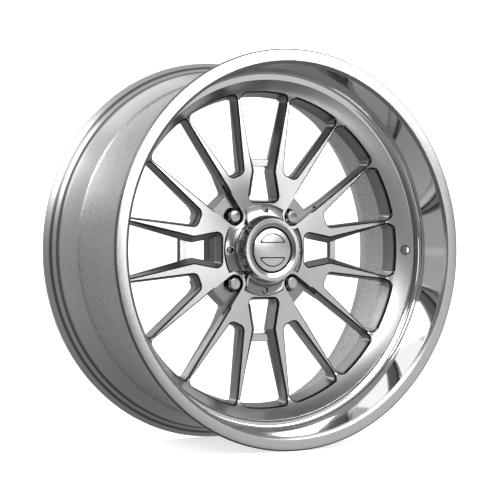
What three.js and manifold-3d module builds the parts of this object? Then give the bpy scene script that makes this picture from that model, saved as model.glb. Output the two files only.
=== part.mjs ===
// Forged two-piece wheel rim, 24 x 9.5 in, four-lug, with lug nuts and a bolted centre cap.
//
// Frame: millimetres, origin at the wheel's centre, +Y along the axle towards the vehicle, +Z up.
// The street side faces -Y. The lug holes lie on the diagonals, the valve hole is on the +X side.

import * as THREE from "three";
import { mergeVertices } from "three/addons/utils/BufferGeometryUtils.js";
import Module from "manifold-3d";

const wasm = await Module();
wasm.setup();

// ---------------------------------------------------------------- driving dimensions

const LIP_RADIUS = 322.5; // outer radius of both rim flanges
const OVERALL_WIDTH = 270.8; // from one flange face to the other
const FRONT_Y = -OVERALL_WIDTH / 2;
const REAR_Y = OVERALL_WIDTH / 2;
const FIT_GAP = 0.3; // clearance between touching pieces
const RIM_SEGMENTS = 72;
const HUB_SEGMENTS = 36;
const FASTENER_SEGMENTS = 18;
const QUARTERS = [0, 1, 2, 3].map((n) => (n * Math.PI) / 2); // clock angles

// rim barrel
// Tyre flange and bead seat as [radius, distance from the flange face], the same on both sides.
const TYRE_FLANGE = [
  [LIP_RADIUS, 0],
  [LIP_RADIUS, 5.7],
  [315.7, 12.8],
  [311.9, 16.6],
  [307.7, 21.8],
  [305, 27.3],
];
const BEAD_SEAT_RADIUS = 305;
const FRONT_SEAT_END_Y = -96.7;
const REAR_SEAT_END_Y = 101.7;
const WELL_RADIUS = 287; // outside of the drop centre
const WELL_FRONT_Y = 3;
const CONE_FRONT = { radius: 298.5, y: -80 }; // the long cone from the front bead seat to the well
const WELL_REAR_Y = 66;
const RAMP = { radius: 290, y: 70 }; // ridge where the well turns up to the rear bead seat
const BARREL_BORE = 279; // inside of the drop centre
const BORE_REAR_Y = 76; // where the inside starts to flare
const REAR_MOUTH_RADIUS = 306.5;
const MOUTH_CHAMFER = 2;
const LIP_INNER_RADIUS = 304; // inner edge of the flat street-side lip
const DISH_EDGE = { radius: 298.5, y: -132 }; // a bevel leads from the lip to here
const DISH_MIDDLE = { radius: 295.9, y: -100 };
const DISH_CORNER = { radius: 292.5, y: -68.5 }; // where the dish wall meets its floor
const SEAM_Y = -67.3; // where the floor of the dish meets the forged centre
const CENTRE_RADIUS = 277.7; // outer radius of the forged centre

// forged centre
const FACE_Y = -35.4; // machined front face of the spokes
const PAD_Y = 25.9; // hub mounting pad
const CENTRE_REAR_Y = -9;
const FACE_EDGE_RADIUS = 250; // where the face starts to curve up to the seam
const FILLET_CONTROL_RADIUS = 259;
const FILLET_STEPS = 4;
const SPOKE_END = { radius: 258, y: -11 }; // back of the spokes, beside the rim
const SPOKE_WAIST = { radius: 150, y: -8 };
const SPOKE_ROOT = { radius: 112, y: 5 }; // back of the spokes, beside the hub drum
const DRUM_RADIUS = 104;
const HUB_BORE = 56;
const PILOT_RADIUS = 65.8; // counterbore that centres the wheel on a 131 mm hub
const PILOT_DEPTH = 15;

// windows
const WINDOW_ARC_RADIUS = 259.5;
const CORNER_STEPS = 3;
const ARC_STEP = Math.PI / 36;
const OUTER_FILLET = 9;
const INNER_FILLET = 10;
const HOURGLASS = { outerAngle: 10.4, waist: [21, 131], waistFillet: 2, foot: [30.1, 79.3] };
const SHORT = { nearAngle: 11.5, farAngle: 33.9, footNear: [38.2, 126.6], footFar: [61.6, 116.8] };
const LONG = { outerAngle: 10.3, innerRadius: 106.5, halfWidthAtLug: 16, slope: 0.171 };
const CHANNEL_OVERRUN = 20; // how far the sunken channel floor runs into the long window
const BRIDGE = {
  inner: 138.5,
  outer: 151,
  reach: 28, // half its length, ends buried in the spokes
  innerFlare: { start: 15, rise: 8 },
  outerFlare: { start: 20, rise: 4 },
  front: -22,
  rear: -13.5,
};

// Cut on each of the drum's four sides, which leaves it full only around the lugs.
const RELIEF = { halfLength: 50, near: 80, far: 152, front: -8.2 };

// lugs
const LUG_CIRCLE_RADIUS = 78; // 4 x 156 mm pattern
const LUG_ANGLES = QUARTERS.map((angle) => angle + Math.PI / 4);
const LUG_POCKET_RADIUS = 14.5;
const LUG_POCKET_FLOOR_Y = -6;
const LUG_BOSS_RADIUS = 20.2;
const STUD_HOLE_RADIUS = 7.2;
const INSERT_RADIUS = 12;
const INSERT_LENGTH = 15;
const CHANNEL_FLOOR_Y = -23;
const SEAT_MOUTH_RADIUS = 10.9; // conical seat that the nut's cone bears on
const SEAT_END_Y = 0.17;

// lug nut
const NUT_TOP_Y = -37;
const NUT_LENGTH = 37;
const NUT_HEX_RADIUS = 10.97; // across corners / 2, 19 mm across flats
const NUT_END_RADIUS = 9.3;
const NUT_END_LENGTH = 4.5;
const NUT_CHAMFER = 1;
const NUT_CONE_LENGTH = 6.3;
const NUT_CONE_MOUTH = 10.6;
const NUT_CONE_TIP = 7;
const NUT_BORE = 5.4;
const NUT_BORE_START = 9; // solid metal left at the closed end

// centre cap
const RECESS_RADIUS = 74.4;
const RECESS_FLOOR_Y = -27.4;
const FLANGE_RADIUS = 73.6;
const FLANGE_EDGE_Y = -36; // front of the flange at its outer edge
const FLANGE_CREST = { radius: 61.5, y: -42.7 }; // the flange slopes up to here
const FLANGE_ARM_HALF_WIDTH = 34; // the four arms pass between the lug bosses
const NOTCH_FILLET = 5;
const CAP_BORE = 46;
const SPIGOT_RADIUS = 55.5;
const SPIGOT_END_Y = -14;
const SEAL_RADIUS = 54.4;
const SEAL_SECTION = 1.3;
const SEAL_Y = -20;
const SEAL_GROOVE_RADIUS = 52.8;
const SEAL_GROOVE_HALF_WIDTH = 2;
const COVE = { controlRadius: 54, controlY: -43.4, end: -49, steps: 4 };
const TOWER_RADIUS = 53.2;
const BEZEL_RADIUS = 51.5;
const BEZEL_TOP_Y = -64.7;
const BEZEL_CHAMFER = 0.8;
const BEZEL_FLAT_RADIUS = 44.8;
const BEZEL_BEVEL_Y = -61.6;
const BADGE_BORE = 37;
const BADGE_RADIUS = 36.6;
const BADGE_SHOULDER_RADIUS = 41;
const BADGE_SHOULDER_BORE = 41.4;
const BADGE_LEDGE_Y = -58;
const BADGE_BACK_Y = -54.7;
const BADGE_RIM_Y = -63;
const BADGE_CENTRE_Y = -64;
const PANEL_RADIUS = 27.5; // two sunken D-shaped panels on the badge
const PANEL_EDGE = 11.7;
const PANEL_FLOOR_Y = -62.5;
const RING_GROOVE = { radius: 43.6, front: -54.4, rear: -52.2 };
const RING_BORE = 36;
const RING_SLIT_HALF_WIDTH = 5;
const CAP_BORE_STEP_Y = -50;

// cap screws
const SCREW_CIRCLE = 67;
const SCREW_TOP_Y = -38.6;
const SCREW = { head: 4.25, headLength: 3.7, shank: 2.4, length: 21.5, key: 2.3 };
const COUNTERBORE = { radius: 5.5, floor: -34.6 };
const SCREW_HOLE = { radius: 2.7, end: -12.8 };

// valve hole, square to the sloping wall beside the seam
const VALVE_POINT = { radius: 271.2, y: -56.4 };
const VALVE_TILT = THREE.MathUtils.degToRad(57); // from the axle
const VALVE_HOLE_RADIUS = 5.9;
const VALVE_SPOTFACE_RADIUS = 9;
const VALVE_SPOTFACE_DEPTH = 1.5;
const VALVE_DRILL_LENGTH = 80;

// ---------------------------------------------------------------- materials

function metal(color, roughness) {
  return new THREE.MeshStandardMaterial({ color, roughness, metalness: 1 });
}

const brushedAluminium = metal(0xc4c5c8, 0.3);
const polishedAluminium = metal(0xd8d9dc, 0.12);
const steel = metal(0x9a9b9e, 0.35);
const chrome = metal(0xd0d1d4, 0.08);
const rubber = new THREE.MeshStandardMaterial({ color: 0x141414, roughness: 0.85 });

// ---------------------------------------------------------------- solids and meshes

// A closed solid from a geometry: shared vertices merged, collapsed triangles dropped.
function solidOf(geometry) {
  geometry.deleteAttribute("normal");
  geometry.deleteAttribute("uv");
  const merged = mergeVertices(geometry, 1e-4);
  const corners = merged.index.array;
  const triangles = [];
  for (let i = 0; i < corners.length; i += 3) {
    const [a, b, c] = [corners[i], corners[i + 1], corners[i + 2]];
    if (a !== b && b !== c && c !== a) triangles.push(a, b, c);
  }
  const mesh = new wasm.Mesh({
    numProp: 3,
    vertProperties: new Float32Array(merged.attributes.position.array),
    triVerts: new Uint32Array(triangles),
  });
  return new wasm.Manifold(mesh);
}

function geometryOf(solid) {
  const mesh = solid.getMesh();
  const geometry = new THREE.BufferGeometry();
  geometry.setAttribute("position", new THREE.BufferAttribute(mesh.vertProperties, 3));
  geometry.setIndex(new THREE.BufferAttribute(mesh.triVerts, 1));
  return geometry;
}

// Solid of revolution about the axle. The profile is a list of [radius, y].
function turned(profile, segments) {
  const touchesAxis = profile.some(([radius]) => radius === 0);
  const loop = touchesAxis ? profile : [...profile, profile[0]];
  let area = 0;
  for (let i = 0; i < profile.length; i += 1) {
    const [r0, y0] = profile[i];
    const [r1, y1] = profile[(i + 1) % profile.length];
    area += r0 * y1 - r1 * y0;
  }
  const ordered = area > 0 ? loop : [...loop].reverse();
  const points = ordered.map(([radius, y]) => new THREE.Vector2(radius, y));
  return solidOf(new THREE.LatheGeometry(points, segments));
}

// Solid with the outline [x, z] seen from the street side, from y = rear to y = front.
function extruded(outline, front, rear) {
  const shape = new THREE.Shape(outline.map(([x, z]) => new THREE.Vector2(x, z)));
  const geometry = new THREE.ExtrudeGeometry(shape, { depth: rear - front, bevelEnabled: false });
  geometry.rotateX(Math.PI / 2);
  geometry.translate(0, rear, 0);
  return solidOf(geometry);
}

// Round bar along the axle at [x, z].
function bar(radius, front, rear, x = 0, z = 0, segments = FASTENER_SEGMENTS) {
  const geometry = new THREE.CylinderGeometry(radius, radius, rear - front, segments);
  geometry.translate(x, (front + rear) / 2, z);
  return solidOf(geometry);
}

function united(solids) {
  return solids.reduce((sum, solid) => sum.add(solid));
}

function without(solid, cuts) {
  return cuts.reduce((left, cut) => left.subtract(cut), solid);
}

// Point on a circle at a clock angle: 0 is up, positive turns towards +X.
function clockPoint(radius, angle) {
  return [radius * Math.sin(angle), radius * Math.cos(angle)];
}

function turnedBy([x, z], angle) {
  const [sine, cosine] = [Math.sin(angle), Math.cos(angle)];
  return [x * cosine + z * sine, z * cosine - x * sine];
}

const wheel = new THREE.Group();

function addMesh(name, solid, material) {
  const mesh = new THREE.Mesh(geometryOf(solid), material);
  mesh.name = name;
  wheel.add(mesh);
  return mesh;
}

// ---------------------------------------------------------------- outlines seen from the front

// A closed outline through corners [x, z, fillet radius], each rounded with an arc.
function filleted(corners) {
  const outline = [];
  corners.forEach(([x, z, radius = 0], i) => {
    if (radius === 0) {
      outline.push([x, z]);
      return;
    }
    const before = corners[(i + corners.length - 1) % corners.length];
    const after = corners[(i + 1) % corners.length];
    const toBefore = new THREE.Vector2(before[0] - x, before[1] - z).normalize();
    const toAfter = new THREE.Vector2(after[0] - x, after[1] - z).normalize();
    const half = Math.acos(toBefore.dot(toAfter)) / 2;
    const inward = toBefore.clone().add(toAfter).normalize();
    const corner = new THREE.Vector2(x, z);
    const centre = corner.clone().addScaledVector(inward, radius / Math.sin(half));
    const start = corner.clone().addScaledVector(toBefore, radius / Math.tan(half)).sub(centre);
    const end = corner.clone().addScaledVector(toAfter, radius / Math.tan(half)).sub(centre);
    const sweep = Math.atan2(start.cross(end), start.dot(end));
    for (let step = 0; step <= CORNER_STEPS; step += 1) {
      const arm = start.clone().rotateAround(new THREE.Vector2(), (sweep * step) / CORNER_STEPS);
      outline.push([centre.x + arm.x, centre.y + arm.y]);
    }
  });
  return outline;
}

function clockCorner(angleInDegrees, fillet) {
  return [...clockPoint(WINDOW_ARC_RADIUS, THREE.MathUtils.degToRad(angleInDegrees)), fillet];
}

// The points of the windows' common outer arc strictly between two clock angles in degrees.
function arcBetween(fromDegrees, toDegrees) {
  const from = THREE.MathUtils.degToRad(fromDegrees);
  const to = THREE.MathUtils.degToRad(toDegrees);
  const count = Math.round((to - from) / ARC_STEP);
  const points = [];
  for (let i = 1; i < count; i += 1) {
    points.push(clockPoint(WINDOW_ARC_RADIUS, from + ((to - from) * i) / count));
  }
  return points;
}

// The outline that is the right half's corners, the outer arc and the mirrored left half.
function symmetricWindow(outerAngle, rightHalf) {
  const leftHalf = rightHalf.map(([x, z, fillet]) => [-x, z, fillet]).reverse();
  return filleted([...leftHalf, ...arcBetween(-outerAngle, outerAngle), ...rightHalf]);
}

// Hourglass window, on the vertical.
function hourglassOutline() {
  return symmetricWindow(HOURGLASS.outerAngle, [
    clockCorner(HOURGLASS.outerAngle, OUTER_FILLET),
    [...HOURGLASS.waist, HOURGLASS.waistFillet],
    [...HOURGLASS.foot, INNER_FILLET],
  ]);
}

// Short window between an hourglass and a long window, blunt at its inner end.
function shortOutline() {
  return filleted([
    clockCorner(SHORT.nearAngle, OUTER_FILLET),
    ...arcBetween(SHORT.nearAngle, SHORT.farAngle),
    clockCorner(SHORT.farAngle, OUTER_FILLET),
    [...SHORT.footFar, INNER_FILLET],
    [...SHORT.footNear, INNER_FILLET],
  ]);
}

// Long window, drawn on the vertical: its straight sides close in on a lug pocket.
function longHalfWidth(height) {
  return LONG.halfWidthAtLug + (height - LUG_CIRCLE_RADIUS) * LONG.slope;
}

function longOutline() {
  return symmetricWindow(LONG.outerAngle, [
    clockCorner(LONG.outerAngle, OUTER_FILLET),
    [longHalfWidth(LONG.innerRadius), LONG.innerRadius, INNER_FILLET],
  ]);
}

// Sunken floor between a lug pocket and its long window, drawn on the vertical.
function channelOutline() {
  const end = LONG.innerRadius + CHANNEL_OVERRUN;
  return [
    [-longHalfWidth(LUG_CIRCLE_RADIUS), LUG_CIRCLE_RADIUS],
    [-longHalfWidth(end), end],
    [longHalfWidth(end), end],
    [longHalfWidth(LUG_CIRCLE_RADIUS), LUG_CIRCLE_RADIUS],
  ];
}

// Bridge across the waist of an hourglass window, flared where it meets the spokes.
function bridgeOutline() {
  const outerEnd = BRIDGE.outer + BRIDGE.outerFlare.rise;
  const innerEnd = BRIDGE.inner - BRIDGE.innerFlare.rise;
  return [
    [-BRIDGE.reach, outerEnd],
    [-BRIDGE.outerFlare.start, BRIDGE.outer],
    [BRIDGE.outerFlare.start, BRIDGE.outer],
    [BRIDGE.reach, outerEnd],
    [BRIDGE.reach, innerEnd],
    [BRIDGE.innerFlare.start, BRIDGE.inner],
    [-BRIDGE.innerFlare.start, BRIDGE.inner],
    [-BRIDGE.reach, innerEnd],
  ];
}

// Quarter of the space between the cap's arms, towards +X and +Z.
function notchOutline() {
  const near = FLANGE_ARM_HALF_WIDTH;
  const far = FLANGE_RADIUS + 1;
  return filleted([
    [near, near, NOTCH_FILLET],
    [near, far],
    [far, far],
    [far, near],
  ]);
}

// Sunken D-shaped panel in the upper half of the badge.
function panelOutline() {
  const start = Math.acos(PANEL_EDGE / PANEL_RADIUS);
  const steps = 12;
  const outline = [];
  for (let i = 0; i <= steps; i += 1) {
    outline.push(clockPoint(PANEL_RADIUS, -start + (2 * start * i) / steps));
  }
  return outline;
}

function turnedOutline(outline, angle) {
  return outline.map((point) => turnedBy(point, angle));
}

// ---------------------------------------------------------------- wheel structure

// The drill that makes the valve hole and the wider one that faces its mouth.
function valveDrills() {
  const drills = [
    [VALVE_HOLE_RADIUS, VALVE_DRILL_LENGTH, 0],
    [VALVE_SPOTFACE_RADIUS, VALVE_DRILL_LENGTH, VALVE_SPOTFACE_DEPTH - VALVE_DRILL_LENGTH / 2],
  ];
  return drills.map(([radius, length, along]) => {
    const geometry = new THREE.CylinderGeometry(radius, radius, length, FASTENER_SEGMENTS);
    geometry.translate(0, along, 0);
    geometry.rotateZ(-VALVE_TILT);
    geometry.translate(VALVE_POINT.radius, VALVE_POINT.y, 0);
    return solidOf(geometry);
  });
}

// The concave curve from the flat face up to the seam with the dish.
function filletCurve() {
  const points = [];
  for (let i = 0; i <= FILLET_STEPS; i += 1) {
    const t = i / FILLET_STEPS;
    const [start, middle, end] = [(1 - t) * (1 - t), 2 * t * (1 - t), t * t];
    points.push([
      start * FACE_EDGE_RADIUS + middle * FILLET_CONTROL_RADIUS + end * CENTRE_RADIUS,
      (start + middle) * FACE_Y + end * SEAM_Y,
    ]);
  }
  return points;
}

function centreBlank() {
  const pilotFloor = PAD_Y - PILOT_DEPTH;
  return turned(
    [
      [HUB_BORE, FACE_Y],
      ...filletCurve(),
      [CENTRE_RADIUS, CENTRE_REAR_Y],
      [SPOKE_END.radius, SPOKE_END.y],
      [SPOKE_WAIST.radius, SPOKE_WAIST.y],
      [SPOKE_ROOT.radius, SPOKE_ROOT.y],
      [DRUM_RADIUS, PAD_Y],
      [PILOT_RADIUS, PAD_Y],
      [PILOT_RADIUS, pilotFloor],
      [HUB_BORE, pilotFloor],
    ],
    RIM_SEGMENTS,
  );
}

function windowCuts() {
  const cut = (outline) => extruded(outline, SEAM_Y, PAD_Y + 1);
  const short = shortOutline();
  const shortMirrored = short.map(([x, z]) => [-x, z]).reverse();
  return QUARTERS.flatMap((angle) => [
    cut(turnedOutline(hourglassOutline(), angle)),
    cut(turnedOutline(short, angle)),
    cut(turnedOutline(shortMirrored, angle)),
    cut(turnedOutline(longOutline(), angle + Math.PI / 4)),
  ]);
}

function lugCuts() {
  const inFront = FACE_Y - 1;
  return LUG_ANGLES.flatMap((angle) => {
    const [x, z] = clockPoint(LUG_CIRCLE_RADIUS, angle);
    const insertEnd = LUG_POCKET_FLOOR_Y + INSERT_LENGTH + FIT_GAP;
    return [
      extruded(turnedOutline(channelOutline(), angle), inFront, CHANNEL_FLOOR_Y),
      bar(LUG_POCKET_RADIUS, inFront, LUG_POCKET_FLOOR_Y, x, z),
      bar(INSERT_RADIUS + FIT_GAP, inFront, insertEnd, x, z),
      bar(STUD_HOLE_RADIUS, inFront, PAD_Y + 1, x, z),
    ];
  });
}

// Seat for the cap's flange, with the four lug bosses left standing in it.
function capRecess() {
  const recess = bar(RECESS_RADIUS, FACE_Y - 1, RECESS_FLOOR_Y, 0, 0, HUB_SEGMENTS);
  const bosses = LUG_ANGLES.map((angle) => {
    const [x, z] = clockPoint(LUG_CIRCLE_RADIUS, angle);
    return bar(LUG_BOSS_RADIUS, FACE_Y - 2, RECESS_FLOOR_Y + 1, x, z);
  });
  return without(recess, bosses);
}

function screwHoles(radius, front, rear) {
  return QUARTERS.map((angle) => bar(radius, front, rear, ...clockPoint(SCREW_CIRCLE, angle)));
}

function reliefCuts() {
  const { halfLength, near, far, front } = RELIEF;
  const outline = [
    [-halfLength, near],
    [-halfLength, far],
    [halfLength, far],
    [halfLength, near],
  ];
  return QUARTERS.map((angle) => extruded(turnedOutline(outline, angle), front, PAD_Y + 1));
}

function forgedCentre() {
  const bridges = QUARTERS.map((angle) =>
    extruded(turnedOutline(bridgeOutline(), angle), BRIDGE.front, BRIDGE.rear),
  );
  const spokes = united([without(centreBlank(), windowCuts()), ...bridges]);
  return without(spokes, [
    ...reliefCuts(),
    ...lugCuts(),
    capRecess(),
    ...screwHoles(SCREW_HOLE.radius, RECESS_FLOOR_Y - 1, SCREW_HOLE.end),
    ...valveDrills(),
  ]);
}

function rimBarrel() {
  const seatRadius = CENTRE_RADIUS + FIT_GAP;
  const seatRear = CENTRE_REAR_Y + 1;
  const frontFlange = TYRE_FLANGE.map(([radius, depth]) => [radius, FRONT_Y + depth]);
  const rearFlange = TYRE_FLANGE.map(([radius, depth]) => [radius, REAR_Y - depth]).reverse();
  const blank = turned(
    [
      [LIP_INNER_RADIUS, FRONT_Y],
      ...frontFlange,
      [BEAD_SEAT_RADIUS, FRONT_SEAT_END_Y],
      [CONE_FRONT.radius, CONE_FRONT.y],
      [WELL_RADIUS, WELL_FRONT_Y],
      [WELL_RADIUS, WELL_REAR_Y],
      [RAMP.radius, RAMP.y],
      [BEAD_SEAT_RADIUS, REAR_SEAT_END_Y],
      ...rearFlange,
      [REAR_MOUTH_RADIUS + MOUTH_CHAMFER, REAR_Y],
      [REAR_MOUTH_RADIUS, REAR_Y - MOUTH_CHAMFER],
      [BARREL_BORE, BORE_REAR_Y],
      [BARREL_BORE, seatRear],
      [seatRadius, seatRear],
      [seatRadius, SEAM_Y - FIT_GAP],
      [DISH_CORNER.radius, DISH_CORNER.y],
      [DISH_MIDDLE.radius, DISH_MIDDLE.y],
      [DISH_EDGE.radius, DISH_EDGE.y],
    ],
    RIM_SEGMENTS,
  );
  return without(blank, valveDrills());
}

// ---------------------------------------------------------------- lug hardware

// Steel seat pressed into the bottom of a lug pocket. Its front end is at y = 0.
function seatInsert() {
  const seatEnd = SEAT_END_Y - LUG_POCKET_FLOOR_Y;
  return turned(
    [
      [SEAT_MOUTH_RADIUS, 0],
      [INSERT_RADIUS, 0],
      [INSERT_RADIUS, INSERT_LENGTH],
      [STUD_HOLE_RADIUS, INSERT_LENGTH],
      [STUD_HOLE_RADIUS, seatEnd],
    ],
    FASTENER_SEGMENTS,
  );
}

// Closed-end nut with a conical seat and a blind bore from the rear. Its outer end is at y = 0.
function lugNut() {
  const coneStart = NUT_LENGTH - NUT_CONE_LENGTH;
  const end = turned(
    [
      [0, 0],
      [NUT_END_RADIUS - NUT_CHAMFER, 0],
      [NUT_END_RADIUS, NUT_CHAMFER],
      [NUT_END_RADIUS, NUT_END_LENGTH + 1],
      [0, NUT_END_LENGTH + 1],
    ],
    FASTENER_SEGMENTS,
  );
  const hexagon = bar(NUT_HEX_RADIUS, NUT_END_LENGTH, coneStart, 0, 0, 6);
  const cone = turned(
    [
      [0, coneStart - 1],
      [NUT_CONE_TIP, coneStart - 1],
      [NUT_CONE_MOUTH, coneStart],
      [NUT_CONE_TIP, NUT_LENGTH],
      [0, NUT_LENGTH],
    ],
    FASTENER_SEGMENTS,
  );
  const bore = bar(NUT_BORE, NUT_BORE_START, NUT_LENGTH + 1);
  return united([end, hexagon, cone]).subtract(bore);
}

// ---------------------------------------------------------------- centre cap

function notchCuts(front, rear) {
  return QUARTERS.map((angle) => extruded(turnedOutline(notchOutline(), angle), front, rear));
}

// The concave curve from the flange's crest to the tower's wall.
function coveCurve() {
  const points = [];
  for (let i = 0; i <= COVE.steps; i += 1) {
    const t = i / COVE.steps;
    const [start, middle, end] = [(1 - t) * (1 - t), 2 * t * (1 - t), t * t];
    points.push([
      start * FLANGE_CREST.radius + middle * COVE.controlRadius + end * TOWER_RADIUS,
      start * FLANGE_CREST.y + middle * COVE.controlY + end * COVE.end,
    ]);
  }
  return points;
}

// One-piece cap: sloping flange with four arms between the lug bosses, a raised tower with a
// bezel round the badge, and a spigot in the hub bore.
function capBody() {
  const seatY = RECESS_FLOOR_Y - FIT_GAP;
  const blank = turned(
    [
      [CAP_BORE, SPIGOT_END_Y],
      [CAP_BORE, CAP_BORE_STEP_Y],
      [BADGE_SHOULDER_BORE, CAP_BORE_STEP_Y],
      [BADGE_SHOULDER_BORE, RING_GROOVE.rear],
      [RING_GROOVE.radius, RING_GROOVE.rear],
      [RING_GROOVE.radius, RING_GROOVE.front],
      [BADGE_SHOULDER_BORE, RING_GROOVE.front],
      [BADGE_SHOULDER_BORE, BADGE_LEDGE_Y],
      [BADGE_BORE, BADGE_LEDGE_Y],
      [BADGE_BORE, BEZEL_BEVEL_Y],
      [BEZEL_FLAT_RADIUS, BEZEL_TOP_Y],
      [BEZEL_RADIUS - BEZEL_CHAMFER, BEZEL_TOP_Y],
      [BEZEL_RADIUS, BEZEL_TOP_Y + BEZEL_CHAMFER],
      ...coveCurve().reverse(),
      [FLANGE_RADIUS, FLANGE_EDGE_Y],
      [FLANGE_RADIUS, seatY],
      [SPIGOT_RADIUS, seatY],
      [SPIGOT_RADIUS, SEAL_Y - SEAL_GROOVE_HALF_WIDTH],
      [SEAL_GROOVE_RADIUS, SEAL_Y - SEAL_GROOVE_HALF_WIDTH],
      [SEAL_GROOVE_RADIUS, SEAL_Y + SEAL_GROOVE_HALF_WIDTH],
      [SPIGOT_RADIUS, SEAL_Y + SEAL_GROOVE_HALF_WIDTH],
      [SPIGOT_RADIUS, SPIGOT_END_Y],
    ],
    HUB_SEGMENTS,
  );
  const cutFront = COVE.end + 1;
  const core = bar(TOWER_RADIUS, cutFront - 1, seatY + 1, 0, 0, HUB_SEGMENTS);
  const corners = notchCuts(cutFront, seatY).map((cut) => cut.subtract(core));
  return without(blank, [
    ...corners,
    ...screwHoles(COUNTERBORE.radius, cutFront, COUNTERBORE.floor),
    ...screwHoles(SCREW_HOLE.radius, cutFront, seatY + 1),
  ]);
}

// Slightly domed disc with a shoulder behind, so that it goes in from the rear of the cap.
function capBadge() {
  const disc = turned(
    [
      [0, BADGE_CENTRE_Y],
      [BADGE_RADIUS, BADGE_RIM_Y],
      [BADGE_RADIUS, BADGE_LEDGE_Y + FIT_GAP],
      [BADGE_SHOULDER_RADIUS, BADGE_LEDGE_Y + FIT_GAP],
      [BADGE_SHOULDER_RADIUS, BADGE_BACK_Y],
      [0, BADGE_BACK_Y],
    ],
    HUB_SEGMENTS,
  );
  const panels = [0, Math.PI].map((angle) =>
    extruded(turnedOutline(panelOutline(), angle), BADGE_CENTRE_Y - 1, PANEL_FLOOR_Y),
  );
  return without(disc, panels);
}

// Split ring that holds the badge in the cap from behind.
function snapRing() {
  const outer = RING_GROOVE.radius - FIT_GAP;
  const front = RING_GROOVE.front + FIT_GAP;
  const rear = RING_GROOVE.rear - FIT_GAP;
  const ring = turned(
    [
      [RING_BORE, front],
      [outer, front],
      [outer, rear],
      [RING_BORE, rear],
    ],
    HUB_SEGMENTS,
  );
  const half = RING_SLIT_HALF_WIDTH;
  const slit = [
    [-half, 0],
    [half, 0],
    [half, -outer - 1],
    [-half, -outer - 1],
  ];
  return ring.subtract(extruded(slit, front - 1, rear + 1));
}

function sealRing() {
  const geometry = new THREE.TorusGeometry(SEAL_RADIUS, SEAL_SECTION, 6, HUB_SEGMENTS);
  geometry.rotateX(Math.PI / 2);
  geometry.translate(0, SEAL_Y, 0);
  return solidOf(geometry);
}

// Socket-head screw. The top of its head is at y = 0.
function socketScrew() {
  const body = turned(
    [
      [0, 0],
      [SCREW.head, 0],
      [SCREW.head, SCREW.headLength],
      [SCREW.shank, SCREW.headLength],
      [SCREW.shank, SCREW.headLength + SCREW.length],
      [0, SCREW.headLength + SCREW.length],
    ],
    FASTENER_SEGMENTS,
  );
  return body.subtract(bar(SCREW.key, -1, SCREW.headLength / 2, 0, 0, 6));
}

// ---------------------------------------------------------------- assembly

addMesh("rim_barrel", rimBarrel(), polishedAluminium);
addMesh("forged_centre", forgedCentre(), brushedAluminium);

LUG_ANGLES.forEach((angle, i) => {
  const [x, z] = clockPoint(LUG_CIRCLE_RADIUS, angle);
  addMesh(`lug_seat_insert_${i + 1}`, seatInsert(), steel).position.set(x, LUG_POCKET_FLOOR_Y, z);
  addMesh(`lug_nut_${i + 1}`, lugNut(), chrome).position.set(x, NUT_TOP_Y, z);
});

addMesh("cap_body", capBody(), polishedAluminium);
addMesh("cap_badge", capBadge(), brushedAluminium);
addMesh("cap_snap_ring", snapRing(), steel);
addMesh("cap_seal", sealRing(), rubber);

QUARTERS.forEach((angle, i) => {
  const [x, z] = clockPoint(SCREW_CIRCLE, angle);
  addMesh(`cap_screw_${i + 1}`, socketScrew(), steel).position.set(x, SCREW_TOP_Y, z);
});

export default wheel;
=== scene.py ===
"""Looks of the forged racing wheel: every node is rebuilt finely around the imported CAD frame.

Lengths are millimetres in the frame of the CAD part until a mesh is made, then metres.
+Y points to the vehicle, -Y to the street side, +Z up. The lug holes lie on the diagonals.
"""
import math

import bmesh
import bpy
from mathutils import Matrix, Vector


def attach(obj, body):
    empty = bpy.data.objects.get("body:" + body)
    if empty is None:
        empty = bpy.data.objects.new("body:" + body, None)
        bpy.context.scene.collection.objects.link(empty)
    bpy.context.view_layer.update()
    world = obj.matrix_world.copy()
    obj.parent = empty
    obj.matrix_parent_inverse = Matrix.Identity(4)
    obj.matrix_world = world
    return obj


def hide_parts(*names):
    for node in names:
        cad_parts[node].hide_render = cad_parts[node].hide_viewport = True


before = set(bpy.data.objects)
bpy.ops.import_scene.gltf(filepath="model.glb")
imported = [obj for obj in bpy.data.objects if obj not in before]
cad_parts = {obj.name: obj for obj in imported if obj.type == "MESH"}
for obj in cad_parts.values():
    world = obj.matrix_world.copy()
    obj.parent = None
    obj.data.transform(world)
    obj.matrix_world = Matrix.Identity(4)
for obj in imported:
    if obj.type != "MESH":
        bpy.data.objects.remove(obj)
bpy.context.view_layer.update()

MM = 0.001
QUARTERS = [n * math.pi / 2 for n in range(4)]
LUG_ANGLES = [angle + math.pi / 4 for angle in QUARTERS]

# resolution
RIM_SEGMENTS = 288
HUB_SEGMENTS = 144
SMALL_SEGMENTS = 48
CURVE_STEPS = 24
SMALL_CURVE_STEPS = 10
FILLET_STEP = math.radians(9)
ARC_STEP = math.radians(1)
SMOOTH_ANGLE = math.radians(30)
BOOLEAN_SOLVER = "MANIFOLD"

# gap between two pieces, and how far a cutter stands clear of the surface that it cuts
FIT = 0.3
PAST = 2

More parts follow.
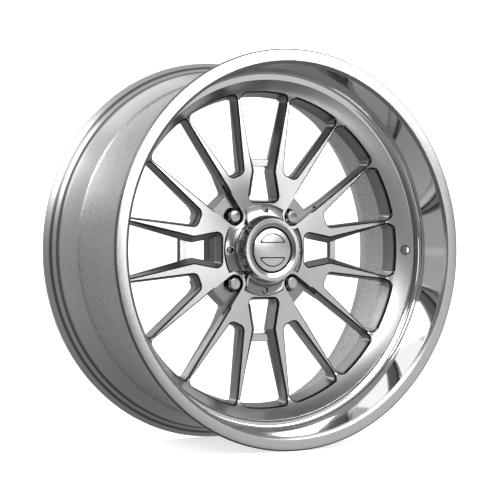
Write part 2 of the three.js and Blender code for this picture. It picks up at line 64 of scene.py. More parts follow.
# barrel: radius and distance from the axle's mid-plane
LIP_RADIUS = 322.5
FRONT_Y = -135.4
REAR_Y = 135.4
LIP_INNER_RADIUS = 304
DISH_EDGE = (298.5, -132)
DISH_CONTROL = (296.2, -100)
DISH_CORNER = (292.5, -68.5)
DISH_FILLET = 9
DISH_FILLET_RUN = 9.72  # how far the fillet beside the seam reaches over the floor
DISH_RADIUS = 278
SEAM_Y = -67.3
BEAD_SEAT_RADIUS = 305
FLANGE_STEPS = [(LIP_RADIUS, 5.7), (315.7, 12.8), (311.9, 16.6), (307.7, 21.8), (BEAD_SEAT_RADIUS, 27.3)]
FLANGE_EDGE_FILLET = 2.5
FRONT_SEAT_END_Y = -96.7
CONE_START = (298.5, -80)
WELL_RADIUS = 287
WELL_START_Y = 3
WELL_END_Y = 66
RAMP_START = (290, 70)
RAMP_END_Y = 101.7
REAR_EDGE_RADIUS = 308.5
REAR_MOUTH_RADIUS = 306.5
REAR_MOUTH_END_Y = 76
BARREL_BORE = 279
SHOULDER_Y = -8

# forged centre
CENTRE_RADIUS = 277.7
CENTRE_REAR_Y = -9
FACE_Y = -35.4
PAD_Y = 25.9
FACE_EDGE_RADIUS = 250
FILLET_CONTROL_RADIUS = 259
SPOKE_REAR = [(258, -11), (150, -8)]
DRUM_FOOT = (112, 5)
DRUM_FOOT_FILLET = 6
DRUM_RADIUS = 104
HUB_BORE = 56
RELIEF = {"half": 50, "near": 80, "far": 152, "front": -8.2}
PILOT_RADIUS = 65.8
PILOT_FLOOR_Y = 10.9

# windows
WINDOW_ARC_RADIUS = 259.5
OUTER_FILLET = 11
INNER_FILLET = 10
HOURGLASS_ANGLE = 10.4
HOURGLASS_WAIST = (21, 131, 2)
HOURGLASS_FOOT = (30.1, 79.3, INNER_FILLET)
SHORT_NEAR_ANGLE = 11.5
SHORT_FAR_ANGLE = 33.9
SHORT_FOOT_NEAR = (38.2, 126.6, INNER_FILLET)
SHORT_FOOT_FAR = (61.6, 116.8, INNER_FILLET)
LONG_ANGLE = 10.3
LONG_INNER_RADIUS = 106.5
LONG_HALF_WIDTH_AT_LUG = 16
LONG_SLOPE = 0.171
CHANNEL_END = LONG_INNER_RADIUS + 20
CHANNEL_FLOOR_Y = -23
# The window's chamfer gets the near-black painted-shade material: a dark line round each window.
EDGE_WIDTH = 2.1  # dark chamfer round a window
EDGE_DEPTH = 1.1
DRILL_CHAMFER = 1
MEET_TOLERANCE = 0.3  # a face corner this near the front surface lies on it
WALL_STEP = 4  # depth of the straight wall behind the chamfer
SLOPE_END_Y = -24  # the wall slopes inwards to here near the hub
SLOPE_END_RISE = 0.078  # the slope's end moves back by this much for each mm beyond the bridge
NARROW_DRAFT = 3
ARC_DRAFT = 6
WAIST_DRAFT = 9
HUB_DRAFT = 1.5
REAR_DRAFT_SHARE = 0.5
HUB_WALL_RADIUS = 88
# milling marks on a window's hub end: y, and how far the wall stands in there
HUB_FLUTES = [(-14.5, 3.4), (-9, 0.6), (-3.4, 2.6), (3, 0.4), (10, 3), (20, 2.4)]
BRIDGE = {"inner": 138.5, "outer": 151, "reach": 28, "front": -22, "rear": -13.5, "chamfer": 0.9}
INNER_FLARE = {"start": 12, "rise": 10, "fillet": 9}
OUTER_FLARE = {"start": 20, "rise": 4, "fillet": 5}

# lug holes and nuts
LUG_CIRCLE_RADIUS = 78
LUG_POCKET_RADIUS = 14.5
LUG_POCKET_FLOOR_Y = -6
LUG_POCKET_FILLET = 2
LUG_BOSS_RADIUS = 20.2
STUD_HOLE_RADIUS = 7.2
INSERT_RADIUS = 12
INSERT_LENGTH = 15
SEAT_MOUTH_RADIUS = 10.9
SEAT_END_Y = 0.17
NUT_TOP_Y = -37
NUT_LENGTH = 37
NUT_HEX_RADIUS = 10.97
NUT_END_RADIUS = 9.3
NUT_END_LENGTH = 4.5
NUT_STEP = 0.6  # depth of the turned corner between the round end and the flats
NUT_CONE_LENGTH = 6.3
NUT_CONE_MOUTH = 10.6
NUT_CONE_TIP = 7
NUT_BORE = 5.4
NUT_BORE_START = 9
NUT_BORE_TIP = 2

# cap
RECESS_RADIUS = 75.6
RECESS_CHAMFER = 0.6
RECESS_FLOOR_Y = -27.4
CAP_SEAT_Y = -27.7
FLANGE_RADIUS = 73.6
FLANGE_EDGE_Y = -36
FLANGE_CREST = (61.5, -42.7)
FLANGE_ARM_HALF_WIDTH = 34
NOTCH_FILLET = 5
CAP_BORE = 46
CAP_BORE_END_Y = -50
BADGE_HOLE_RADIUS = 41.4
RING_GROOVE = {"radius": 43.6, "front": -54.4, "rear": -52.2}
RING = {"inner": 36, "outer": 43.3, "front": -54.1, "rear": -52.5, "half_slit": 5}
SPIGOT_RADIUS = 55.5
SPIGOT_END_Y = -14
SEAL_GROOVE = {"radius": 52.8, "front": -22, "rear": -18}
SEAL_RADIUS = 54.4
SEAL_SECTION = 1.3
SEAL_Y = -20
COVE_CONTROL = (54, -43.4)
COVE_END_Y = -49
COVE_STEPS = 12
TOWER_RADIUS = 53.2
BEZEL_RADIUS = 51.5
BEZEL_TOP_Y = -64.7
BEZEL_FLAT_RADIUS = 44.8
BEZEL_BEVEL_Y = -61.6
BEZEL_SHADOW = 1  # width of the dark edge beside the badge
BADGE_BORE = 37.4
BADGE_RADIUS = 35.4
BADGE_SHOULDER_RADIUS = 41
BADGE_LEDGE_Y = -58
BADGE_BACK_Y = -54.7
BADGE_RIM_Y = -62.6
BADGE_CENTRE_Y = -64.4
BADGE_EDGE = 0.8
PANEL_RADIUS = 27.5
PANEL_EDGE = 11.7
PANEL_FILLET = 1.5
PANEL_GROOVE_WIDTH = 1.8
PANEL_GROOVE_FLOOR_Y = BADGE_RIM_Y + 0.5

# cap screws
SCREW_CIRCLE = 67
SCREW_TOP_Y = -38.6
SCREW_HEAD_RADIUS = 4
SCREW_HEAD_LENGTH = 3.7
SCREW_SHANK_RADIUS = 2.4
SCREW_SHANK_LENGTH = 21.5
SCREW_KEY_RADIUS = 2.3
SCREW_KEY_DEPTH = 2
SCREW_HOLE_RADIUS = 2.7
SCREW_HOLE_END_Y = -12.8
COUNTERBORE_RADIUS = 5.5
COUNTERBORE_FLOOR_Y = -34.6

# valve hole
VALVE_POINT = (271.2, -56.4)
VALVE_TILT = math.radians(57)
VALVE_HOLE_RADIUS = 5.9
VALVE_SPOTFACE_RADIUS = 9
VALVE_DRILL_REACH = 40
VALVE_LAND = (1.5, 9)  # the narrow stretch between the two spotfaces, along the drill

# studio, in metres
FLOOR_Z = -LIP_RADIUS * MM
STUDIO_RADIUS = 7.0
STUDIO_HEIGHT = 5.0
STUDIO_BEND = 2.0
SHADE_START = 0.55  # the floor glows less within this distance of the wheel's centre
SHADE_END = 1.3
SHADE_GLOW = 0.62
FRONT_SKY = [(0.0, 0.28), (0.3, 0.22), (0.44, 0.12), (0.52, 0.1), (0.65, 0.18), (1.0, 0.45)]
BACK_SKY = [
    (0.0, 0.12), (0.28, 0.42), (0.42, 0.46), (0.485, 0.46),
    (0.505, 0.66), (0.53, 0.5), (0.65, 0.52), (1.0, 0.6),
]
CAMERA_PLACE = (-1.5054, -2.5287, 0)
CAMERA_TURN = math.radians(-30.67)
CAMERA_LENS = 126.98


# ---------------------------------------------------------------- materials

def new_material(name):
    material = bpy.data.materials.new(name)
    material.use_nodes = True
    return material, material.node_tree, material.node_tree.nodes["Principled BSDF"]


def axle_radius(tree):
    """Distance from the axle, in metres."""
    place = tree.nodes.new("ShaderNodeTexCoord")
    flat = tree.nodes.new("ShaderNodeVectorMath")
    flat.operation = "MULTIPLY"
    flat.inputs[1].default_value = (1, 0, 1)
    length = tree.nodes.new("ShaderNodeVectorMath")
    length.operation = "LENGTH"
    tree.links.new(place.outputs["Object"], flat.inputs[0])
    tree.links.new(flat.outputs["Vector"], length.inputs[0])
    return length.outputs["Value"]


def ring_noise(tree, rings_per_metre):
    """Noise that changes only with the distance from the axle and with y: marks of a lathe tool."""
    place = tree.nodes.new("ShaderNodeTexCoord")
    split = tree.nodes.new("ShaderNodeSeparateXYZ")
    join = tree.nodes.new("ShaderNodeCombineXYZ")
    noise = tree.nodes.new("ShaderNodeTexNoise")
    noise.inputs["Scale"].default_value = rings_per_metre
    noise.inputs["Detail"].default_value = 3
    tree.links.new(place.outputs["Object"], split.inputs[0])
    tree.links.new(axle_radius(tree), join.inputs["X"])
    tree.links.new(split.outputs["Y"], join.inputs["Y"])
    tree.links.new(join.outputs[0], noise.inputs["Vector"])
    return noise.outputs["Fac"]


def grain_noise(tree, scale):
    place = tree.nodes.new("ShaderNodeTexCoord")
    noise = tree.nodes.new("ShaderNodeTexNoise")
    noise.inputs["Scale"].default_value = scale
    noise.inputs["Detail"].default_value = 4
    tree.links.new(place.outputs["Object"], noise.inputs["Vector"])
    return noise.outputs["Fac"]


def ranged(tree, value, low, high):
    spread = tree.nodes.new("ShaderNodeMapRange")
    spread.inputs["From Min"].default_value = 0.3
    spread.inputs["From Max"].default_value = 0.7
    spread.inputs["To Min"].default_value = low
    spread.inputs["To Max"].default_value = high
    tree.links.new(value, spread.inputs["Value"])
    return spread.outputs["Result"]


def bumped(tree, shader, value, strength, distance):
    bump = tree.nodes.new("ShaderNodeBump")
    bump.inputs["Strength"].default_value = strength
    bump.inputs["Distance"].default_value = distance
    tree.links.new(value, bump.inputs["Height"])
    tree.links.new(bump.outputs["Normal"], shader.inputs["Normal"])


def turned_metal(name, colour, roughness, anisotropy, spread=0.06, bump=0.0):
    """Metal finished on a lathe: fine rings about the axle and a radial sheen."""
    material, tree, shader = new_material(name)
    shader.inputs["Base Color"].default_value = (*colour, 1)
    shader.inputs["Metallic"].default_value = 1
    shader.inputs["Anisotropic"].default_value = anisotropy
    rings = ring_noise(tree, 2500)
    finish = ranged(tree, rings, roughness - spread, roughness + spread)
    tree.links.new(finish, shader.inputs["Roughness"])
    if anisotropy > 0:
        tangent = tree.nodes.new("ShaderNodeTangent")
        tangent.direction_type = "RADIAL"
        tangent.axis = "Y"
        tree.links.new(tangent.outputs["Tangent"], shader.inputs["Tangent"])
    if bump > 0:
        bumped(tree, shader, rings, bump, 0.0001)
    return material


def plain_metal(name, colour, roughness, spread=0.04, scale=120):
    """Smooth metal with faint changes of polish."""
    material, tree, shader = new_material(name)
    shader.inputs["Base Color"].default_value = (*colour, 1)
    shader.inputs["Metallic"].default_value = 1
    wear = grain_noise(tree, scale)
    tree.links.new(ranged(tree, wear, roughness - spread, roughness + spread), shader.inputs["Roughness"])
    return material


def blasted_metal(name, colour, roughness, grain_scale, bump):
    """Metal with the fine grain of bead blasting."""
    material, tree, shader = new_material(name)
    shader.inputs["Metallic"].default_value = 1
    grain = grain_noise(tree, grain_scale)
    tone = tree.nodes.new("ShaderNodeValToRGB")
    tone.color_ramp.elements[0].position = 0.3
    tone.color_ramp.elements[0].color = (*[c * 0.5 for c in colour], 1)
    tone.color_ramp.elements[1].position = 0.7
    tone.color_ramp.elements[1].color = (*colour, 1)
    tree.links.new(grain, tone.inputs[0])
    tree.links.new(tone.outputs[0], shader.inputs["Base Color"])
    tree.links.new(ranged(tree, grain, roughness - 0.05, roughness + 0.05), shader.inputs["Roughness"])
    bumped(tree, shader, grain, bump, 0.0004)
    return material


def rubber_material():
    material, tree, shader = new_material("seal_rubber")
    shader.inputs["Base Color"].default_value = (0.012, 0.012, 0.012, 1)
    grain = grain_noise(tree, 900)
    tree.links.new(ranged(tree, grain, 0.5, 0.7), shader.inputs["Roughness"])
    bumped(tree, shader, grain, 0.2, 0.0001)
    return material


BRUSHED = turned_metal("brushed_face", (0.74, 0.74, 0.75), 0.18, 0.8, spread=0.0)
CURVE = turned_metal("turned_curve", (0.72, 0.72, 0.73), 0.32, 0.6, spread=0.02)
# Near black: painted shade. It draws the dark lines on the chamfers of windows, drills and the cap's
# recess, and the dark gaps of the cap.
LINE_SHADE = plain_metal("painted_shade_lines", (0.012, 0.012, 0.014), 0.4)
# Darkened aluminium: painted shade on the windows' straight walls, and lighter painted shade on their
# drafted slopes and the channel floors.
WALL_SHADE = plain_metal("milled_wall_painted_shade", (0.13, 0.13, 0.135), 0.3)
SLOPE_SHADE = plain_metal("drafted_wall_painted_shade", (0.31, 0.31, 0.315), 0.32)
# Dark grey: painted shade for the dark bands that reflections draw on the flanges' steps and the front
# lip's rim.
BAND_SHADE = turned_metal("flange_band_painted_shade", (0.2, 0.2, 0.205), 0.3, 0.0)
MIRROR = turned_metal("polished_dish", (0.74, 0.74, 0.75), 0.07, 0.0, spread=0.02)
LIP = turned_metal("polished_lip", (0.7, 0.7, 0.71), 0.22, 0.7, spread=0.03)
BLASTED = blasted_metal("blasted_barrel", (0.74, 0.73, 0.725), 0.36, 380, 1.0)
SEAT = turned_metal("turned_bead_seat", (0.66, 0.66, 0.67), 0.3, 0.3)
TOWER = turned_metal("polished_tower", (0.34, 0.34, 0.345), 0.16, 0.0, spread=0.02)
FLANGE = turned_metal("polished_flange", (0.76, 0.76, 0.77), 0.16, 0.0, spread=0.0)
BEVEL = turned_metal("lip_bevel", (0.4, 0.4, 0.405), 0.2, 0.0, spread=0.0)
POCKET = plain_metal("machined_pocket", (0.32, 0.32, 0.33), 0.3)
BADGE = turned_metal("badge_satin", (0.7, 0.7, 0.705), 0.22, 0.0, spread=0.01)
# Near black. On the badge's rim wall it is painted shade in the gap round the badge; it also colours the
# grooves round the panels.
DARK_GROOVES_AND_GAP_SHADE = plain_metal("dark_grooves_and_gap_shade", (0.015, 0.015, 0.016), 0.4)
CHROME = plain_metal("nut_chrome", (0.6, 0.6, 0.61), 0.14)
STEEL = plain_metal("plain_steel", (0.3, 0.3, 0.31), 0.3)
RUBBER = rubber_material()


# ---------------------------------------------------------------- meshes

def clock_point(radius, angle):
    """Point on a circle at a clock angle: 0 is up, positive turns towards +X."""
    return (radius * math.sin(angle), radius * math.cos(angle))


def turned_by(point, angle):
    sine, cosine = math.sin(angle), math.cos(angle)
    return (point[0] * cosine + point[1] * sine, point[1] * cosine - point[0] * sine)


def filleted(corners):
    """Rounds each corner (a, b, radius, tag) with an arc. Returns (a, b, tag)."""
    rounded = []
    for i, corner in enumerate(corners):
        radius = corner[2] if len(corner) > 2 else 0
        tag = corner[3] if len(corner) > 3 else 0
        if radius == 0:
            rounded.append((corner[0], corner[1], tag))
            continue
        here = Vector(corner[:2])
        to_before = (Vector(corners[i - 1][:2]) - here).normalized()
        to_after = (Vector(corners[(i + 1) % len(corners)][:2]) - here).normalized()
        half = to_before.angle(to_after) / 2
        centre = here + (to_before + to_after).normalized() * radius / math.sin(half)
        start = here + to_before * radius / math.tan(half) - centre
        end = here + to_after * radius / math.tan(half) - centre
        sweep = math.atan2(start.cross(end), start.dot(end))
        steps = max(2, math.ceil(abs(sweep) / FILLET_STEP))
        for step in range(steps + 1):
            arm = start.copy()
            arm.rotate(Matrix.Rotation(sweep * step / steps, 2))
            rounded.append((centre.x + arm.x, centre.y + arm.y, tag))
    return rounded


def bezier(start, control, end, steps):
    """Points (a, b) of a curve that leaves start towards control and reaches end from there."""
    points = []
    for i in range(steps + 1):
        t = i / steps
        first, middle, last = (1 - t) ** 2, 2 * t * (1 - t), t * t
        points.append((
            first * start[0] + middle * control[0] + last * end[0],
            first * start[1] + middle * control[1] + last * end[1],
        ))
    return points


def make_object(name, points, faces, tags, materials):
    """Mesh object from points in millimetres, with the normals turned outwards."""
    mesh = bpy.data.meshes.new(name)
    mesh.from_pydata([Vector(p) * MM for p in points], [], faces)
    for material in materials:
        mesh.materials.append(material)
    mesh.polygons.foreach_set("material_index", tags)
    shape = bmesh.new()
    shape.from_mesh(mesh)
    bmesh.ops.recalc_face_normals(shape, faces=shape.faces)
    shape.to_mesh(mesh)
    shape.free()
    obj = bpy.data.objects.new(name, mesh)
    bpy.context.scene.collection.objects.link(obj)
    smooth(obj)
    return obj


def smooth(obj):
    obj.data.shade_smooth()
    obj.data.set_sharp_from_angle(angle=SMOOTH_ANGLE)


def turned(name, profile, materials, segments=RIM_SEGMENTS, centre=(0, 0, 0)):
    """Solid of revolution about the axle. The profile is (radius, y, fillet, tag), closed.

    The tag is the material of the stretch that starts at that point.
    """
    line = filleted(profile)
    points, rings = [], []
    for radius, y, tag in line:
        count = 1 if radius < 1e-6 else segments
        rings.append((len(points), count, tag))
        for k in range(count):
            x, z = clock_point(radius, 2 * math.pi * k / segments)
            points.append((centre[0] + x, centre[1] + y, centre[2] + z))
    faces, tags = [], []
    for i, (start, count, tag) in enumerate(rings):
        after, after_count, _ = rings[(i + 1) % len(rings)]
        if count == 1 and after_count == 1:
            continue
        for k in range(segments):
            j = (k + 1) % segments
            if count == 1:
                faces.append((start, after + k, after + j))
            elif after_count == 1:
                faces.append((start + k, after, start + j))
            else:
                faces.append((start + k, after + k, after + j, start + j))
            tags.append(tag)
    return make_object(name, points, faces, tags, materials)


def lofted(name, loops, materials, tags):
    """Closed solid through loops of (x, y, z) with the same number of points, capped at both ends.

    The tags are those of the first cap, each layer and the last cap.
    """
    count = len(loops[0])
    points = [point for loop in loops for point in loop]
    faces = [tuple(range(count)), tuple(range(len(points) - count, len(points)))]
    face_tags = [tags[0], tags[-1]]
    for layer in range(len(loops) - 1):
        for k in range(count):
            j = (k + 1) % count
            low, high = layer * count, (layer + 1) * count
            faces.append((low + k, low + j, high + j, high + k))
            face_tags.append(tags[layer + 1])
    return make_object(name, points, faces, face_tags, materials)


def offset_outline(outline, distance):
    """Outline [(x, z)] moved outwards, or inwards for a negative distance."""
    area = sum(a[0] * b[1] - b[0] * a[1] for a, b in zip(outline, outline[1:] + outline[:1]))
    side = 1 if area > 0 else -1
    moved = []
    for i, here in enumerate(outline):
        before, after = outline[i - 1], outline[(i + 1) % len(outline)]
        first = Vector((here[1] - before[1], before[0] - here[0])).normalized()
        second = Vector((after[1] - here[1], here[0] - after[0])).normalized()
        normal = (first + second).normalized()
        reach = distance * side / max(0.5, normal.dot(first))
        moved.append((here[0] + normal.x * reach, here[1] + normal.y * reach))
    return moved


def prism(name, outline, front, rear, materials, tag=0, chamfer=0.0, cap_tag=None):
    """Straight solid with the outline [(x, z)]; a chamfer narrows its front edge."""
    loops = []
    if chamfer:
        loops.append([(x, front, z) for x, z in offset_outline(outline, -chamfer)])
        loops.append([(x, front + chamfer, z) for x, z in outline])
    else:
        loops.append([(x, front, z) for x, z in outline])
    loops.append([(x, rear, z) for x, z in outline])
    cap = tag if cap_tag is None else cap_tag
    return lofted(name, loops, materials, [cap] + [tag] * (len(loops) - 1) + [cap])


def bar(name, radius, front, rear, x, z, materials, tag=0, chamfer_front=None, floor_fillet=0):
    """Round drill along the axle. chamfer_front is the y of the surface whose edge it chamfers."""
    profile = [(0, front, 0, tag)]
    if chamfer_front is None:
        profile.append((radius, front, 0, tag))
    else:
        reach = chamfer_front - front
        # The drill's chamfer is painted shade: a dark ring round the hole.
        profile.append((radius + DRILL_CHAMFER + reach, front, 0, CHAMFER_TAG))
        profile.append((radius, chamfer_front + DRILL_CHAMFER, 0, tag))
    profile += [(radius, rear, floor_fillet, tag), (0, rear, 0, tag)]
    return turned(name, profile, materials, SMALL_SEGMENTS, (x, 0, z))


def combine(obj, others, operation):
    """Applies one boolean to obj for each of the other objects, and removes them."""
    for other in others:
        step = obj.modifiers.new("combine", "BOOLEAN")
        step.operation = operation
        step.solver = BOOLEAN_SOLVER
        step.object = other
        evaluated = obj.evaluated_get(bpy.context.evaluated_depsgraph_get())
        mesh = bpy.data.meshes.new_from_object(evaluated)
        obj.modifiers.clear()
        old = obj.data
        obj.data = mesh
        bpy.data.meshes.remove(old)
        bpy.data.objects.remove(other)
    return obj


def cut(obj, cutters):
    return combine(obj, cutters, "DIFFERENCE")


def add(obj, parts):
    return combine(obj, parts, "UNION")


def place(obj, node, body, slot):
    """Shows obj instead of the CAD node."""
    obj.name = f"{node}_detail"
    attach(obj, body)
    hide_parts(node)
    return obj


# ---------------------------------------------------------------- outlines seen from the front

def clock_corner(degrees, fillet):
    return (*clock_point(WINDOW_ARC_RADIUS, math.radians(degrees)), fillet)


def arc_between(start, end):
    """Points of the windows' common outer arc strictly between two clock angles in degrees."""
    count = round(math.radians(end - start) / ARC_STEP)
    steps = [start + (end - start) * i / count for i in range(1, count)]
    return [clock_point(WINDOW_ARC_RADIUS, math.radians(angle)) for angle in steps]


def symmetric_window(outer_angle, right_half):
    left_half = [(-x, z, fillet) for x, z, fillet in reversed(right_half)]
    return flat(filleted(left_half + arc_between(-outer_angle, outer_angle) + right_half))


def flat(line):
    return [(a, b) for a, b, _ in line]


def hourglass_outline():
    corner = clock_corner(HOURGLASS_ANGLE, OUTER_FILLET)
    return symmetric_window(HOURGLASS_ANGLE, [corner, HOURGLASS_WAIST, HOURGLASS_FOOT])


def short_outline():
    corners = [clock_corner(SHORT_NEAR_ANGLE, OUTER_FILLET)]
    corners += arc_between(SHORT_NEAR_ANGLE, SHORT_FAR_ANGLE)
    corners += [clock_corner(SHORT_FAR_ANGLE, OUTER_FILLET), SHORT_FOOT_FAR, SHORT_FOOT_NEAR]
    return flat(filleted(corners))


def long_half_width(height):
    return LONG_HALF_WIDTH_AT_LUG + (height - LUG_CIRCLE_RADIUS) * LONG_SLOPE


def long_outline():
    foot = (long_half_width(LONG_INNER_RADIUS), LONG_INNER_RADIUS, INNER_FILLET)
    return symmetric_window(LONG_ANGLE, [clock_corner(LONG_ANGLE, OUTER_FILLET), foot])


def channel_outline():
    near, far = LUG_CIRCLE_RADIUS, CHANNEL_END
    return [
        (-long_half_width(near), near),
        (-long_half_width(far), far),
        (long_half_width(far), far),
        (long_half_width(near), near),
    ]


def bridge_outline():
    """Crosses the waist, with both ends flared where they run into the spokes."""
    reach = BRIDGE["reach"]
    corners = []
    for edge, flare, outwards in ((BRIDGE["outer"], OUTER_FLARE, 1), (BRIDGE["inner"], INNER_FLARE, -1)):
        end = edge + flare["rise"] * outwards
        half = [(-reach, end), (-flare["start"], edge, flare["fillet"])]
        other = [(flare["start"], edge, flare["fillet"]), (reach, end)]
        corners += half + other if outwards > 0 else list(reversed(half + other))
    return flat(filleted(corners))


def notch_outline():
    """One corner of the cap's round flange, between two of its arms."""
    near, far = FLANGE_ARM_HALF_WIDTH, FLANGE_RADIUS + PAST
    return flat(filleted([(near, near, NOTCH_FILLET), (near, far), (far, far), (far, near)]))


def panel_outline(inset=0.0):
    """Panel of the badge between its straight edge and the arc round it."""
    radius, edge = PANEL_RADIUS - inset, PANEL_EDGE + inset
    start = math.acos(edge / radius)
    steps = 40
    arc = [clock_point(radius, -start + 2 * start * i / steps) for i in range(steps + 1)]
    corners = [(*arc[0], PANEL_FILLET)] + arc[1:-1] + [(*arc[-1], PANEL_FILLET)]
    return flat(filleted(corners))


def hexagon(x, z, radius):
    corners = [clock_point(radius, math.pi / 3 * k) for k in range(6)]
    return [(x + corner_x, z + corner_z) for corner_x, corner_z in corners]


def turned_outline(outline, angle):
    return [turned_by(point, angle) for point in outline]


# ---------------------------------------------------------------- forged centre

def fillet_parameter(radius):
    """Where on the concave curve a radius lies, 0 at the flat face and 1 at the seam."""
    slope = 2 * (FILLET_CONTROL_RADIUS - FACE_EDGE_RADIUS)
    bend = FACE_EDGE_RADIUS - 2 * FILLET_CONTROL_RADIUS + CENTRE_RADIUS
    rise = max(0.0, radius - FACE_EDGE_RADIUS)
    return (-slope + math.sqrt(slope * slope + 4 * bend * rise)) / (2 * bend)


def front_y(x, z):
    """Front surface of the centre at a point seen from the street side."""
    t = fillet_parameter(math.hypot(x, z))
    return FACE_Y + t * t * (SEAM_Y - FACE_Y)


# The chamfer, wall and slope materials carry painted shade.
CENTRE_MATERIALS = [BRUSHED, LINE_SHADE, WALL_SHADE, POCKET, SLOPE_SHADE, CURVE]
FACE_TAG, CHAMFER_TAG, WALL_TAG, POCKET_TAG, SLOPE_TAG, CURVE_TAG = range(6)


def centre_blank():
    curve = bezier((FACE_EDGE_RADIUS, FACE_Y), (FILLET_CONTROL_RADIUS, FACE_Y),
                   (CENTRE_RADIUS, SEAM_Y), CURVE_STEPS)
    profile = [(HUB_BORE, FACE_Y, 0, FACE_TAG)]
    profile += [(*point, 0, CURVE_TAG) for point in curve]
    profile.append((CENTRE_RADIUS, CENTRE_REAR_Y, 0, WALL_TAG))
    profile += [(*point, 0, WALL_TAG) for point in SPOKE_REAR]
    profile += [
        (*DRUM_FOOT, DRUM_FOOT_FILLET, WALL_TAG),
        (DRUM_RADIUS, PAD_Y, 2, FACE_TAG),
        (PILOT_RADIUS, PAD_Y, 1, WALL_TAG),
        (PILOT_RADIUS, PILOT_FLOOR_Y, 0, FACE_TAG),
        (HUB_BORE, PILOT_FLOOR_Y, 0, WALL_TAG),
    ]
    return turned("centre", profile, CENTRE_MATERIALS)


def waist_draft(radius):
    """Slope of an hourglass window's wall: most at the waist, little at its hub end."""
    if radius < HOURGLASS_WAIST[1]:
        return min(WAIST_DRAFT, HUB_DRAFT + (radius - HOURGLASS_FOOT[1]) / 2)
    if radius > FACE_EDGE_RADIUS + OUTER_FILLET / 2:
        return ARC_DRAFT
    share = (radius - HOURGLASS_WAIST[1]) / (FACE_EDGE_RADIUS - HOURGLASS_WAIST[1])
    return WAIST_DRAFT + (NARROW_DRAFT - WAIST_DRAFT) * min(1.0, share)


def narrow_draft(radius):
    return ARC_DRAFT if radius > FACE_EDGE_RADIUS + OUTER_FILLET / 2 else NARROW_DRAFT


def inset_outline(outline, draft, share):
    """Outline moved inwards at each point by its own share of the draft."""
    full = offset_outline(outline, -1)
    moved = []
    for (x, z), (fx, fz) in zip(outline, full):
        depth = draft(math.hypot(x, z)) * share
        moved.append((x + (fx - x) * depth, z + (fz - z) * depth))
    return moved


def wall_column(here, rim, foot, rear, inwards):
    """Points of a window's wall at one place of its outline, from in front of the face to behind the pad.

    The other four are that place on the chamfer's rim, the slope's foot, the rear and 1 mm inwards.
    """
    x, z = here
    radius = math.hypot(x, z)
    surface = Vector((rim[0], front_y(*rim), rim[1]))
    edge = Vector((x, front_y(x, z) + EDGE_DEPTH, z))
    slope_end = SLOPE_END_Y + max(0.0, radius - BRIDGE["outer"]) * SLOPE_END_RISE
    column = [surface + (surface - edge) * 2, edge, edge + Vector((0, WALL_STEP, 0))]
    column.append((foot[0], slope_end, foot[1]))
    for y, inset in HUB_FLUTES:
        if radius < HUB_WALL_RADIUS:
            column.append((x + (inwards[0] - x) * inset, y, z + (inwards[1] - z) * inset))
        else:
            column.append((rear[0], y, rear[1]))
    column.append((rear[0], PAD_Y + PAST, rear[1]))
    return column


def window_cutter(outline, draft):
    """Cutter with a chamfer that follows the front surface, a sloping wall and a fluted hub end."""
    rim = offset_outline(outline, EDGE_WIDTH)
    foot = inset_outline(outline, draft, 1)
    rear = inset_outline(outline, draft, REAR_DRAFT_SHARE)
    inwards = offset_outline(outline, -1)
    columns = [wall_column(*places) for places in zip(outline, rim, foot, rear, inwards)]
    slopes = [SLOPE_TAG] * (1 + len(HUB_FLUTES))
    # The chamfer's faces take the near-black painted-shade material; the wall and slope faces take the
    # darkened ones.
    tags = [CHAMFER_TAG, CHAMFER_TAG, WALL_TAG, *slopes, WALL_TAG, WALL_TAG]
    return lofted("window", list(zip(*columns)), CENTRE_MATERIALS, tags)


def window_cutters():
    short = short_outline()
    mirrored = [(-x, z) for x, z in reversed(short)]
    cutters = []
    for angle in QUARTERS:
        cutters.append(window_cutter(turned_outline(hourglass_outline(), angle), waist_draft))
        cutters.append(window_cutter(turned_outline(short, angle), narrow_draft))
        cutters.append(window_cutter(turned_outline(mirrored, angle), narrow_draft))
        cutters.append(window_cutter(turned_outline(long_outline(), angle + math.pi / 4), narrow_draft))
    return cutters


def bridges():
    made = []
    for angle in QUARTERS:
        outline = turned_outline(bridge_outline(), angle)
        made.append(prism("bridge", outline, BRIDGE["front"], BRIDGE["rear"], CENTRE_MATERIALS,
                          WALL_TAG, BRIDGE["chamfer"], FACE_TAG))
    return made


def relief_cutters():
    """Cuts behind the hourglass windows that leave the drum full only around the lugs."""
    half, near, far = RELIEF["half"], RELIEF["near"], RELIEF["far"]
    outline = [(-half, near), (-half, far), (half, far), (half, near)]
    made = []
    for angle in QUARTERS:
        made.append(prism("relief", turned_outline(outline, angle), RELIEF["front"], PAD_Y + PAST,
                          CENTRE_MATERIALS, WALL_TAG))
    return made


def lug_cutters():
    """Channel, nut pocket, insert seat and stud hole of each lug."""
    cutters = []
    in_front = FACE_Y - PAST
    insert_end = LUG_POCKET_FLOOR_Y + INSERT_LENGTH + FIT
    for angle in LUG_ANGLES:
        x, z = clock_point(LUG_CIRCLE_RADIUS, angle)
        cutters += [
            prism("channel", turned_outline(channel_outline(), angle), in_front, CHANNEL_FLOOR_Y,
                  CENTRE_MATERIALS, WALL_TAG, cap_tag=SLOPE_TAG),
            bar("pocket", LUG_POCKET_RADIUS, in_front, LUG_POCKET_FLOOR_Y, x, z,
                CENTRE_MATERIALS, POCKET_TAG, FACE_Y, LUG_POCKET_FILLET),
            bar("insert_seat", INSERT_RADIUS + FIT, in_front, insert_end, x, z,
                CENTRE_MATERIALS, POCKET_TAG),
            bar("stud_hole", STUD_HOLE_RADIUS, in_front, PAD_Y + PAST, x, z,
                CENTRE_MATERIALS, POCKET_TAG),
        ]
    return cutters


